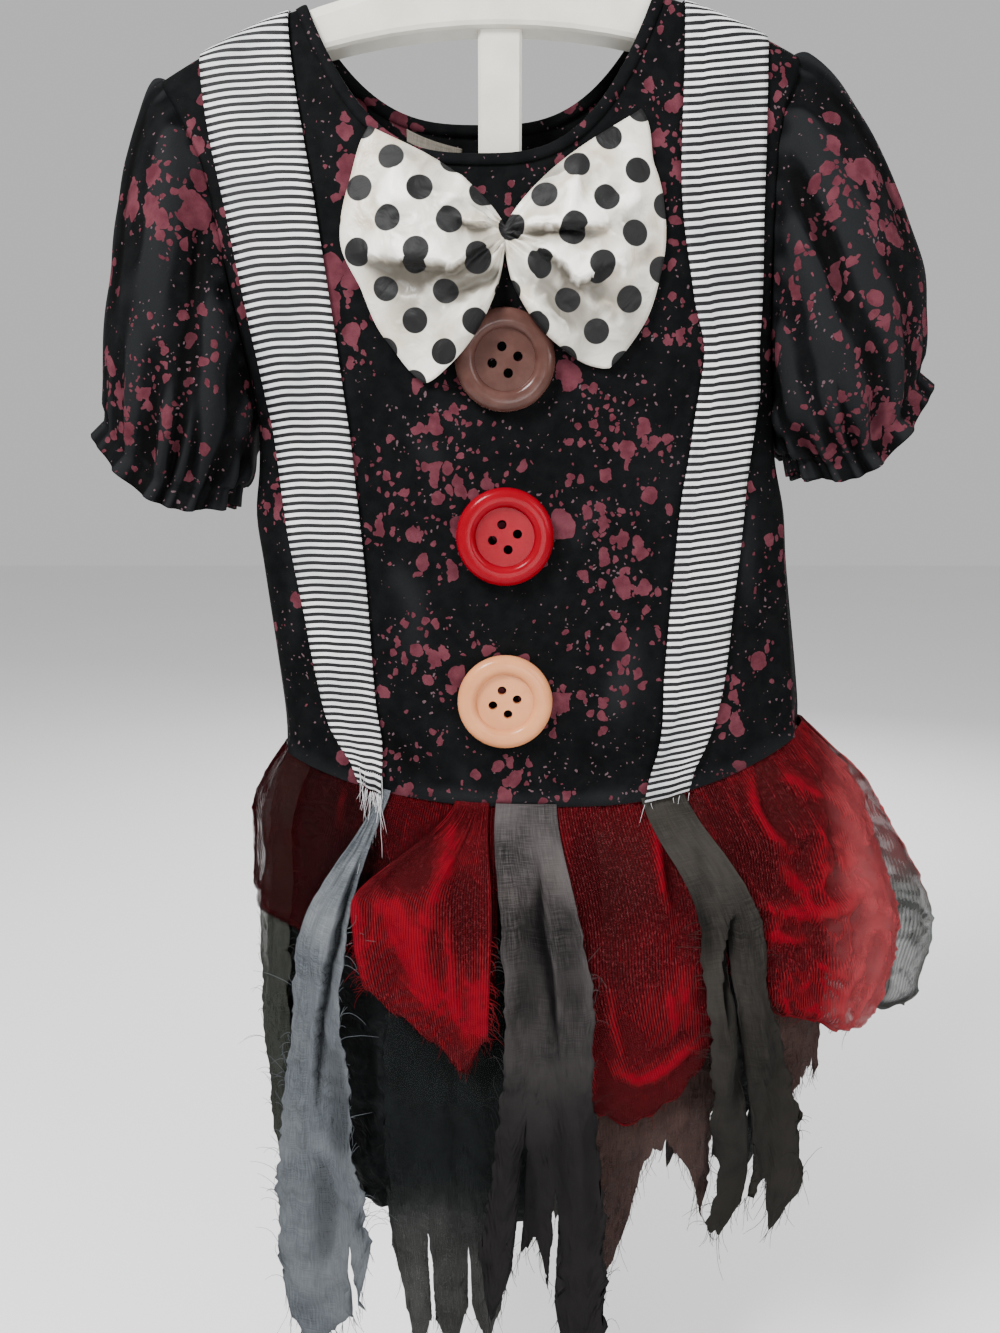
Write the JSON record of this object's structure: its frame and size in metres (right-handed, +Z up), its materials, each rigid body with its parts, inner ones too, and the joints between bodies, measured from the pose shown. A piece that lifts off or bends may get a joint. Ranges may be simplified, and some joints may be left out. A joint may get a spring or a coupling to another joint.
{
  "type": "clown costume dress on a hanger",
  "caption": "Child's scary-clown costume dress with puffed sleeves, striped straps, spotted bow tie, large buttons and a ragged red and grey skirt, hung on a moulded hanger.",
  "frame": {"origin": "seat of the hanger's hook, the lowest point of the inside of its top bend, in the hanger's middle plane", "axes": "+Z up, the front of the dress faces -Y, +X is to the right of a viewer who faces the front"},
  "size_m": [0.5201, 0.1619, 0.9008],
  "materials": {
    "hanger_plastic": "smooth moulded plastic",
    "black_cloth": "matte woven polyester with printed splatter",
    "label_tape": "plain woven tape",
    "striped_cloth": "matte striped ribbon",
    "satin": "soft satin with printed dots",
    "button_brown_plastic": "glossy",
    "button_red_plastic": "glossy",
    "button_peach_plastic": "glossy",
    "lining_cloth": "crinkled light cloth",
    "red_mesh": "sheer ribbed mesh",
    "light_grey_cloth": "frayed light cloth",
    "grey_cloth": "frayed light cloth"
  },
  "bodies": {
    "root": {"hanger": "hanger_plastic", "bodice_front": "black_cloth", "bodice_back": "black_cloth", "neck_binding": "black_cloth", "neck_label": "label_tape", "strap_left": "striped_cloth", "strap_right": "striped_cloth", "sleeve_left": "black_cloth", "sleeve_right": "black_cloth", "bow": "satin", "button_brown": "button_brown_plastic", "button_red": "button_red_plastic", "button_peach": "button_peach_plastic", "skirt_lining": "lining_cloth", "overlay_left": "red_mesh", "overlay_flap": "red_mesh", "overlay_centre": "red_mesh", "overlay_right": "red_mesh", "overlay_back_right": "red_mesh", "overlay_back": "red_mesh", "overlay_back_left": "red_mesh", "tatter_left": "light_grey_cloth", "tatter_centre": "grey_cloth", "tatter_right": "grey_cloth", "tatter_back_left": "grey_cloth", "tatter_back": "grey_cloth", "tatter_back_right": "grey_cloth", "sheer_right": "grey_cloth", "under_far_left": "grey_cloth", "under_left": "grey_cloth", "under_centre": "grey_cloth", "under_right": "grey_cloth", "under_back_right": "grey_cloth", "under_back": "grey_cloth", "under_back_left": "grey_cloth"}
  },
  "joints": []
}
